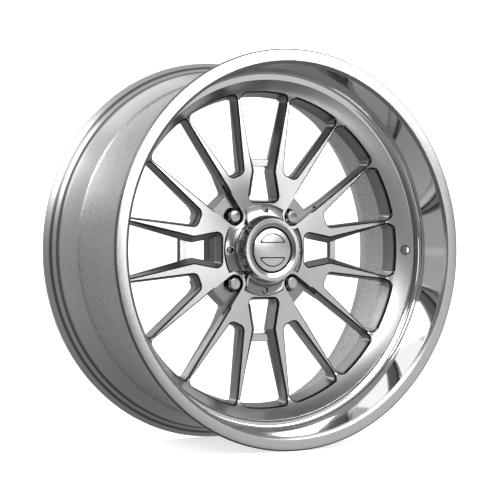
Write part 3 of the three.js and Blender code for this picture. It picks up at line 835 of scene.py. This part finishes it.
def cap_recess():
    """Round recess for the cap's flange, less the bosses that stay round the lugs."""
    in_front = FACE_Y - PAST
    mouth = RECESS_RADIUS + PAST + RECESS_CHAMFER
    recess = turned(
        "recess",
        [
            (0, in_front, 0, POCKET_TAG),
            # The mouth's chamfer is painted shade: a dark ring round the recess.
            (mouth, in_front, 0, CHAMFER_TAG),
            (RECESS_RADIUS, FACE_Y + RECESS_CHAMFER, 0, POCKET_TAG),
            (RECESS_RADIUS, RECESS_FLOOR_Y, 0, POCKET_TAG),
            (0, RECESS_FLOOR_Y, 0, POCKET_TAG),
        ],
        CENTRE_MATERIALS, HUB_SEGMENTS,
    )
    bosses = []
    for angle in LUG_ANGLES:
        x, z = clock_point(LUG_CIRCLE_RADIUS, angle)
        bosses.append(bar("boss", LUG_BOSS_RADIUS, in_front - PAST, RECESS_FLOOR_Y + PAST, x, z,
                          CENTRE_MATERIALS, POCKET_TAG))
    return cut(recess, bosses)


def valve_drills(materials, tag):
    """The drill of the valve hole and the two wider ones that face its mouths."""
    reach = VALVE_DRILL_REACH
    drills = []
    for radius, start, end in [
        (VALVE_HOLE_RADIUS, -reach, reach),
        (VALVE_SPOTFACE_RADIUS, -reach, VALVE_LAND[0]),
        (VALVE_SPOTFACE_RADIUS, VALVE_LAND[1], reach),
    ]:
        drill = bar("drill", radius, start, end, 0, 0, materials, tag)
        direction = Vector((math.sin(VALVE_TILT), math.cos(VALVE_TILT), 0))
        turn = Vector((0, 1, 0)).rotation_difference(direction).to_matrix().to_4x4()
        shift = Matrix.Translation(Vector((*VALVE_POINT, 0)) * MM)
        drill.data.transform(shift @ turn)
        drills.append(drill)
    return drills


def set_front_normals(obj):
    """Exact normals on the front surface, so that long thin faces shade cleanly."""
    mesh = obj.data
    normals = [(0.0, 0.0, 0.0)] * len(mesh.loops)
    for polygon in mesh.polygons:
        if polygon.material_index not in (FACE_TAG, CURVE_TAG):
            continue
        corners = [mesh.vertices[mesh.loops[i].vertex_index].co / MM for i in polygon.loop_indices]
        if any(abs(c.y - front_y(c.x, c.z)) > MEET_TOLERANCE for c in corners):
            continue
        is_flat = all(c.y > FACE_Y - 0.001 for c in corners)
        for loop, corner in zip(polygon.loop_indices, corners):
            radius = math.hypot(corner.x, corner.z)
            t = 0 if is_flat else fillet_parameter(radius)
            along_r = 2 * (1 - t) * (FILLET_CONTROL_RADIUS - FACE_EDGE_RADIUS)
            along_r += 2 * t * (CENTRE_RADIUS - FILLET_CONTROL_RADIUS)
            along_y = 2 * t * (SEAM_Y - FACE_Y)
            normal = Vector((along_y * corner.x / radius, -along_r, along_y * corner.z / radius))
            normals[loop] = tuple(normal.normalized())
    mesh.normals_split_custom_set(normals)


def forged_centre():
    centre = cut(centre_blank(), window_cutters())
    add(centre, bridges())
    cut(centre, relief_cutters() + [cap_recess()] + lug_cutters())
    holes = []
    for angle in QUARTERS:
        x, z = clock_point(SCREW_CIRCLE, angle)
        holes.append(bar("screw_hole", SCREW_HOLE_RADIUS, FACE_Y, SCREW_HOLE_END_Y, x, z,
                         CENTRE_MATERIALS, POCKET_TAG))
    cut(centre, holes + valve_drills(CENTRE_MATERIALS, POCKET_TAG))
    smooth(centre)
    set_front_normals(centre)
    return place(centre, "forged_centre", "wheel", "brushed_aluminium")


# ---------------------------------------------------------------- barrel

BARREL_MATERIALS = [BLASTED, MIRROR, LIP, SEAT, POCKET, BAND_SHADE, BEVEL]
BLAST_TAG, MIRROR_TAG, LIP_TAG, SEAT_TAG, HOLE_TAG, GROOVE_TAG, BEVEL_TAG = range(7)


def dish_wall():
    """Polished wall of the dish, from the fillet beside the seam out to the lip's bevel."""
    wall = bezier(DISH_CORNER, DISH_CONTROL, DISH_EDGE, CURVE_STEPS)[:-1]
    wall = [point for point in wall if point[1] < DISH_CORNER[1] - DISH_FILLET]
    foot = (wall[0][0] - DISH_FILLET_RUN, DISH_CORNER[1])
    fillet = bezier(foot, DISH_CORNER, wall[0], SMALL_CURVE_STEPS)[:-1]
    return [(*point, 0, MIRROR_TAG) for point in fillet + wall]


def flange(face_y, inwards, first_fillet, tags):
    """Stepped outer side of a flange, from its edge to the bead seat."""
    fillets = [first_fillet, 1, 1, 1, 2]
    return [(radius, face_y + inwards * depth, fillet, tag)
            for (radius, depth), fillet, tag in zip(FLANGE_STEPS, fillets, tags)]


def rim_barrel():
    """Turned barrel. A tag belongs to the stretch that starts at its point, so the rear's are shifted."""
    # GROOVE_TAG stretches get the dark painted-shade material: bands on the flanges' steps and the front
    # lip's rim.
    front = flange(FRONT_Y, 1, 1.5, [SEAT_TAG, GROOVE_TAG, SEAT_TAG, GROOVE_TAG, SEAT_TAG])
    rear = flange(REAR_Y, -1, FLANGE_EDGE_FILLET, [SEAT_TAG, SEAT_TAG, GROOVE_TAG, SEAT_TAG, GROOVE_TAG])
    profile = [
        (*DISH_EDGE, 0.5, BEVEL_TAG),
        (LIP_INNER_RADIUS, FRONT_Y, 0.6, LIP_TAG),
        (LIP_RADIUS, FRONT_Y, FLANGE_EDGE_FILLET, GROOVE_TAG),
        *front,
        (BEAD_SEAT_RADIUS, FRONT_SEAT_END_Y, 3, BLAST_TAG),
        (*CONE_START, 3, BLAST_TAG),
        (WELL_RADIUS, WELL_START_Y, 0, BLAST_TAG),
        (WELL_RADIUS, WELL_END_Y, 0.5, BLAST_TAG),
        (*RAMP_START, 2, SEAT_TAG),
        (BEAD_SEAT_RADIUS, RAMP_END_Y, 3, SEAT_TAG),
        *reversed(rear),
        (LIP_RADIUS, REAR_Y, FLANGE_EDGE_FILLET, LIP_TAG),
        (REAR_EDGE_RADIUS, REAR_Y, 0.5, LIP_TAG),
        (REAR_MOUTH_RADIUS, REAR_Y - 2, 1, BLAST_TAG),
        (BARREL_BORE, REAR_MOUTH_END_Y, 6, BLAST_TAG),
        (BARREL_BORE, SHOULDER_Y, 0, BLAST_TAG),
        (DISH_RADIUS, SHOULDER_Y, 0, BLAST_TAG),
        (DISH_RADIUS, SEAM_Y - FIT, 0.5, MIRROR_TAG),
        *dish_wall(),
    ]
    barrel = turned("barrel", profile, BARREL_MATERIALS)
    cut(barrel, valve_drills(BARREL_MATERIALS, HOLE_TAG))
    smooth(barrel)
    return place(barrel, "rim_barrel", "wheel", "polished_aluminium")


# ---------------------------------------------------------------- lug hardware

def seat_insert(number, angle):
    x, z = clock_point(LUG_CIRCLE_RADIUS, angle)
    insert = turned(
        "insert",
        [
            (SEAT_MOUTH_RADIUS, 0, 0.2),
            (INSERT_RADIUS, 0, 0.4),
            (INSERT_RADIUS, INSERT_LENGTH, 0.5),
            (STUD_HOLE_RADIUS, INSERT_LENGTH, 0.3),
            (STUD_HOLE_RADIUS, SEAT_END_Y - LUG_POCKET_FLOOR_Y, 0.5),
        ],
        [STEEL], SMALL_SEGMENTS, (x, LUG_POCKET_FLOOR_Y, z),
    )
    return place(insert, f"lug_seat_insert_{number}", "wheel", "plain_steel")


def nut_envelope(x, z, cone_start):
    """Round end, six flats and round tail that the turned nut is trimmed to."""
    overlap = 0.1
    flats_start = NUT_TOP_Y + NUT_END_LENGTH - NUT_STEP
    flats_end = NUT_TOP_Y + cone_start
    flats = prism("flats", hexagon(x, z, NUT_HEX_RADIUS), flats_start, flats_end + overlap, [CHROME])
    round_end = bar("round", NUT_END_RADIUS + 0.2, NUT_TOP_Y - 1, flats_start + overlap, x, z, [CHROME])
    tail = bar("tail", NUT_HEX_RADIUS, flats_end, NUT_TOP_Y + NUT_LENGTH + 1, x, z, [CHROME])
    return add(flats, [round_end, tail])


def lug_nut(number, angle):
    """Closed-end nut: round end, hexagon with turned corners, conical seat and blind bore."""
    x, z = clock_point(LUG_CIRCLE_RADIUS, angle)
    cone_start = NUT_LENGTH - NUT_CONE_LENGTH
    nut = turned(
        "nut",
        [
            (0, 0),
            (NUT_END_RADIUS, 0, 1.2),
            (NUT_END_RADIUS, NUT_END_LENGTH - NUT_STEP, 0.5),
            (NUT_HEX_RADIUS - 1, NUT_END_LENGTH - 0.2),
            (NUT_HEX_RADIUS, NUT_END_LENGTH + 0.5),
            (NUT_HEX_RADIUS, cone_start),
            (NUT_CONE_MOUTH, cone_start),
            (NUT_CONE_TIP, NUT_LENGTH),
            (NUT_BORE, NUT_LENGTH, 0.4),
            (NUT_BORE, NUT_BORE_START + NUT_BORE_TIP),
            (0, NUT_BORE_START),
        ],
        [CHROME], SMALL_SEGMENTS, (x, NUT_TOP_Y, z),
    )
    combine(nut, [nut_envelope(x, z, cone_start)], "INTERSECT")
    smooth(nut)
    return place(nut, f"lug_nut_{number}", f"nut_{number}", "nut_chrome")


# ---------------------------------------------------------------- centre cap

# CAP_SHADE_TAG takes the near-black painted-shade material: the dark gaps round the badge and round each
# screw head.
CAP_MATERIALS = [BRUSHED, TOWER, POCKET, LINE_SHADE, FLANGE]
BEZEL_TAG, TOWER_TAG, BORE_TAG, CAP_SHADE_TAG, FLANGE_TAG = range(5)
BADGE_MATERIALS = [BADGE, DARK_GROOVES_AND_GAP_SHADE]
SATIN_TAG, GROOVE_AND_GAP_TAG = range(2)


def cap_profile():
    """Half section of the cap: bore, bezel, tower, cove, flange and spigot."""
    shadow_share = BEZEL_SHADOW / (BEZEL_FLAT_RADIUS - BADGE_BORE)
    shadow_y = BEZEL_BEVEL_Y + shadow_share * (BEZEL_TOP_Y - BEZEL_BEVEL_Y)
    ring, seal = RING_GROOVE, SEAL_GROOVE
    cove = bezier((TOWER_RADIUS, COVE_END_Y), COVE_CONTROL, FLANGE_CREST, COVE_STEPS)
    return [
        (CAP_BORE, SPIGOT_END_Y, 0.5, BORE_TAG),
        (CAP_BORE, CAP_BORE_END_Y, 0, BORE_TAG),
        (BADGE_HOLE_RADIUS, CAP_BORE_END_Y, 0, BORE_TAG),
        (BADGE_HOLE_RADIUS, ring["rear"], 0, BORE_TAG),
        (ring["radius"], ring["rear"], 0, BORE_TAG),
        (ring["radius"], ring["front"], 0, BORE_TAG),
        (BADGE_HOLE_RADIUS, ring["front"], 0, BORE_TAG),
        (BADGE_HOLE_RADIUS, BADGE_LEDGE_Y, 0, BORE_TAG),
        # The bezel's bore and the first BEZEL_SHADOW mm of its bevel are painted shade: a dark ring round
        # the badge.
        (BADGE_BORE, BADGE_LEDGE_Y, 0, CAP_SHADE_TAG),
        (BADGE_BORE, BEZEL_BEVEL_Y, 0, CAP_SHADE_TAG),
        (BADGE_BORE + BEZEL_SHADOW, shadow_y, 0, FLANGE_TAG),
        (BEZEL_FLAT_RADIUS, BEZEL_TOP_Y, 0.3, BEZEL_TAG),
        (BEZEL_RADIUS, BEZEL_TOP_Y, 0.8, TOWER_TAG),
        *[(*point, 0, TOWER_TAG) for point in cove[:-1]],
        (*FLANGE_CREST, 0, FLANGE_TAG),
        (FLANGE_RADIUS, FLANGE_EDGE_Y, 0.6, FLANGE_TAG),
        (FLANGE_RADIUS, CAP_SEAT_Y, 0, FLANGE_TAG),
        (SPIGOT_RADIUS, CAP_SEAT_Y, 0, BORE_TAG),
        (SPIGOT_RADIUS, seal["front"], 0, BORE_TAG),
        (seal["radius"], seal["front"], 0, BORE_TAG),
        (seal["radius"], seal["rear"], 0, BORE_TAG),
        (SPIGOT_RADIUS, seal["rear"], 0, BORE_TAG),
        (SPIGOT_RADIUS, SPIGOT_END_Y, 0.5, BORE_TAG),
    ]


def cap_cutters():
    """Cuts that leave four arms on the flange, and the screws' holes in them."""
    in_front = COVE_END_Y + 1
    cutters = []
    for angle in QUARTERS:
        notch = prism("notch", turned_outline(notch_outline(), angle), in_front, CAP_SEAT_Y,
                      CAP_MATERIALS, FLANGE_TAG)
        kept = turned(
            "kept",
            [
                (0, in_front - PAST, 0, TOWER_TAG),
                (TOWER_RADIUS + 0.05, in_front - PAST, 0, TOWER_TAG),
                (TOWER_RADIUS + 0.05, CAP_SEAT_Y + PAST, 0, TOWER_TAG),
                (0, CAP_SEAT_Y + PAST, 0, TOWER_TAG),
            ],
            CAP_MATERIALS, HUB_SEGMENTS,
        )
        cutters.append(cut(notch, [kept]))
        x, z = clock_point(SCREW_CIRCLE, angle)
        # The counterbore's wall is painted shade: a dark ring round the screw head.
        cutters.append(bar("counterbore", COUNTERBORE_RADIUS, in_front, COUNTERBORE_FLOOR_Y, x, z,
                           CAP_MATERIALS, CAP_SHADE_TAG))
        cutters.append(bar("screw_hole", SCREW_HOLE_RADIUS, in_front, CAP_SEAT_Y + 1, x, z,
                           CAP_MATERIALS, BORE_TAG))
    return cutters


def cap_body():
    cap = turned("cap", cap_profile(), CAP_MATERIALS, HUB_SEGMENTS)
    cut(cap, cap_cutters())
    smooth(cap)
    return place(cap, "cap_body", "cap", "cap_aluminium")


def cap_badge():
    """Domed badge with two outlined panels, held behind the bezel by its shoulder."""
    slope_start = BADGE_RADIUS - BADGE_EDGE
    profile = []
    for i in range(SMALL_CURVE_STEPS + 1):
        share = i / SMALL_CURVE_STEPS
        y = BADGE_CENTRE_Y + (BADGE_RIM_Y - BADGE_CENTRE_Y) * share ** 2
        profile.append((slope_start * share, y, 0, SATIN_TAG))
    profile += [
        # The rim wall is painted shade: it darkens the gap between badge and bezel.
        (BADGE_RADIUS, BADGE_RIM_Y + BADGE_EDGE, 0, GROOVE_AND_GAP_TAG),
        (BADGE_RADIUS, BADGE_LEDGE_Y + FIT, 0, GROOVE_AND_GAP_TAG),
        (BADGE_SHOULDER_RADIUS, BADGE_LEDGE_Y + FIT, 0.3, SATIN_TAG),
        (BADGE_SHOULDER_RADIUS, BADGE_BACK_Y, 0.3, SATIN_TAG),
        (0, BADGE_BACK_Y, 0, SATIN_TAG),
    ]
    badge = turned("badge", profile, BADGE_MATERIALS, HUB_SEGMENTS)
    in_front = BADGE_CENTRE_Y - 1
    cutters = []
    for angle in (0, math.pi):
        outer = turned_outline(panel_outline(), angle)
        inner = turned_outline(panel_outline(PANEL_GROOVE_WIDTH), angle)
        groove = prism("groove", outer, in_front, PANEL_GROOVE_FLOOR_Y,
                       BADGE_MATERIALS, GROOVE_AND_GAP_TAG)
        panel = prism("panel", inner, in_front - 1, PANEL_GROOVE_FLOOR_Y + 1,
                      BADGE_MATERIALS, GROOVE_AND_GAP_TAG)
        cutters.append(cut(groove, [panel]))
    cut(badge, cutters)
    smooth(badge)
    return place(badge, "cap_badge", "cap", "badge_aluminium")


def snap_ring():
    """Split ring behind the badge's shoulder."""
    inner, outer, half_slit = RING["inner"], RING["outer"], RING["half_slit"]
    front, rear = RING["front"], RING["rear"]
    corners = [(inner, front), (outer, front), (outer, rear), (inner, rear)]
    ring = turned("ring", [(*corner, 0.3) for corner in corners], [STEEL], HUB_SEGMENTS)
    far = -outer - PAST
    outline = [(-half_slit, 0), (half_slit, 0), (half_slit, far), (-half_slit, far)]
    cut(ring, [prism("slit", outline, front - PAST, rear + PAST, [STEEL])])
    smooth(ring)
    return place(ring, "cap_snap_ring", "cap", "plain_steel")


def seal_ring():
    circle = []
    for k in range(CURVE_STEPS):
        turn = 2 * math.pi * k / CURVE_STEPS
        across, along = SEAL_SECTION * math.cos(turn), SEAL_SECTION * math.sin(turn)
        circle.append((SEAL_RADIUS + across, SEAL_Y + along))
    return place(turned("seal", circle, [RUBBER], HUB_SEGMENTS), "cap_seal", "cap", "seal_rubber")


def cap_screw(number, angle):
    x, z = clock_point(SCREW_CIRCLE, angle)
    screw_end = SCREW_HEAD_LENGTH + SCREW_SHANK_LENGTH
    screw = turned(
        "screw",
        [
            (0, 0),
            (SCREW_HEAD_RADIUS, 0, 0.5),
            (SCREW_HEAD_RADIUS, SCREW_HEAD_LENGTH, 0.2),
            (SCREW_SHANK_RADIUS, SCREW_HEAD_LENGTH),
            (SCREW_SHANK_RADIUS, screw_end, 0.5),
            (0, screw_end),
        ],
        [STEEL], SMALL_SEGMENTS, (x, SCREW_TOP_Y, z),
    )
    outline = hexagon(x, z, SCREW_KEY_RADIUS)
    key = prism("key", outline, SCREW_TOP_Y - 1, SCREW_TOP_Y + SCREW_KEY_DEPTH, [STEEL])
    cut(screw, [key])
    smooth(screw)
    return place(screw, f"cap_screw_{number}", f"screw_{number}", "plain_steel")


rim_barrel()
forged_centre()
cap_body()
cap_badge()
snap_ring()
seal_ring()
for index, lug_angle in enumerate(LUG_ANGLES):
    seat_insert(index + 1, lug_angle)
    lug_nut(index + 1, lug_angle)
for index, quarter in enumerate(QUARTERS):
    cap_screw(index + 1, quarter)


# ---------------------------------------------------------------- studio

def studio_sweep():
    """Seamless pale floor and wall. Reflections don't see them: they show the sky and the lights."""
    material, tree, shader = new_material("studio_paper")
    shader.inputs["Base Color"].default_value = (0.6, 0.6, 0.6, 1)
    shader.inputs["Roughness"].default_value = 0.9
    shader.inputs["Emission Color"].default_value = (1, 1, 1, 1)
    place_node = tree.nodes.new("ShaderNodeTexCoord")
    length = tree.nodes.new("ShaderNodeVectorMath")
    length.operation = "LENGTH"
    glow = tree.nodes.new("ShaderNodeMapRange")
    glow.inputs["From Min"].default_value = SHADE_START
    glow.inputs["From Max"].default_value = SHADE_END
    glow.inputs["To Min"].default_value = SHADE_GLOW
    tree.links.new(place_node.outputs["Object"], length.inputs[0])
    tree.links.new(length.outputs["Value"], glow.inputs["Value"])
    tree.links.new(glow.outputs["Result"], shader.inputs["Emission Strength"])
    line = []
    bend_steps = 16
    for k in range(bend_steps + 1):
        turn = math.pi / 2 * k / bend_steps
        reach = STUDIO_RADIUS - STUDIO_BEND * (1 - math.sin(turn))
        line.append((reach, STUDIO_BEND * (1 - math.cos(turn))))
    line.append((STUDIO_RADIUS, STUDIO_HEIGHT))
    segments = 96
    points, faces = [(0, 0, FLOOR_Z)], []
    for ring_radius, rise in line:
        for k in range(segments):
            x, y = clock_point(ring_radius, 2 * math.pi * k / segments)
            points.append((x, y, FLOOR_Z + rise))
    for k in range(segments):
        j = (k + 1) % segments
        faces.append((0, 1 + k, 1 + j))
        for ring in range(len(line) - 1):
            low, high = 1 + ring * segments, 1 + (ring + 1) * segments
            faces.append((low + k, low + j, high + j, high + k))
    mesh = bpy.data.meshes.new("studio")
    mesh.from_pydata(points, [], faces)
    mesh.materials.append(material)
    mesh.shade_smooth()
    sweep = bpy.data.objects.new("studio", mesh)
    bpy.context.scene.collection.objects.link(sweep)
    sweep.visible_glossy = False


def sky_ramp(tree, height, stops):
    """Brightness by height, from straight down at 0 to straight up at 1."""
    ramp = tree.nodes.new("ShaderNodeValToRGB")
    elements = ramp.color_ramp.elements
    while len(elements) < len(stops):
        elements.new(0.5)
    for element, (position, value) in zip(elements, stops):
        element.position = position
        element.color = (value, value, value, 1)
    tree.links.new(height, ramp.inputs[0])
    return ramp.outputs[0]


def zero_to_one(tree, value):
    spread = tree.nodes.new("ShaderNodeMapRange")
    spread.inputs["From Min"].default_value = -1
    tree.links.new(value, spread.inputs["Value"])
    return spread.outputs["Result"]


def sky():
    """Surroundings that the metal reflects: a dim room in front and a paler one behind."""
    world = bpy.data.worlds.new("studio_sky")
    world.use_nodes = True
    tree = world.node_tree
    direction = tree.nodes.new("ShaderNodeTexCoord")
    split = tree.nodes.new("ShaderNodeSeparateXYZ")
    tree.links.new(direction.outputs["Generated"], split.inputs[0])
    height = zero_to_one(tree, split.outputs["Z"])
    front = sky_ramp(tree, height, FRONT_SKY)
    back = sky_ramp(tree, height, BACK_SKY)
    blend = tree.nodes.new("ShaderNodeMix")
    blend.data_type = "RGBA"
    tree.links.new(zero_to_one(tree, split.outputs["Y"]), blend.inputs["Factor"])
    tree.links.new(front, blend.inputs["A"])
    tree.links.new(back, blend.inputs["B"])
    tree.links.new(blend.outputs["Result"], tree.nodes["Background"].inputs["Color"])
    bpy.context.scene.world = world


def softbox(name, location, size, radiance, reflected=True):
    """Rectangular light that faces the wheel's centre."""
    data = bpy.data.lights.new(name, "AREA")
    data.shape = "RECTANGLE"
    data.size, data.size_y = size
    data.energy = 4 * size[0] * size[1] * radiance
    light = bpy.data.objects.new(name, data)
    light.location = location
    light.rotation_euler = (-Vector(location)).to_track_quat("-Z", "Y").to_euler()
    light.visible_glossy = reflected
    bpy.context.scene.collection.objects.link(light)


def studio_camera():
    data = bpy.data.cameras.new("camera")
    data.lens = CAMERA_LENS
    data.sensor_width = 36
    camera = bpy.data.objects.new("camera", data)
    camera.location = CAMERA_PLACE
    camera.rotation_euler = (math.pi / 2, 0, CAMERA_TURN)
    bpy.context.scene.collection.objects.link(camera)
    bpy.context.scene.camera = camera


studio_sweep()
sky()
softbox("face_light", (0.7, -2.0, 1.03), (1.9, 1.25), 3.6)
softbox("face_glow", (0.8, -2.0, 0.42), (0.55, 0.45), 2.8)
softbox("front_fill", (1.5, -2.3, -0.35), (1.3, 0.9), 0.45)
softbox("camera_fill", (-1.9, -3.2, 0.25), (1.0, 1.0), 1.3)
softbox("barrel_light", (-2.0, 1.9, 1.6), (1.6, 1.3), 1.5)
softbox("overhead", (0, 0, 2.6), (2.6, 2.6), 3.0, reflected=False)
softbox("upper_left", (-2.2, -0.8, 2.0), (1.8, 1.6), 3.0)
softbox("top_back", (-0.4, 1.8, 2.2), (2.4, 1.6), 0.55)
studio_camera()
bpy.context.scene.view_settings.view_transform = "Standard"
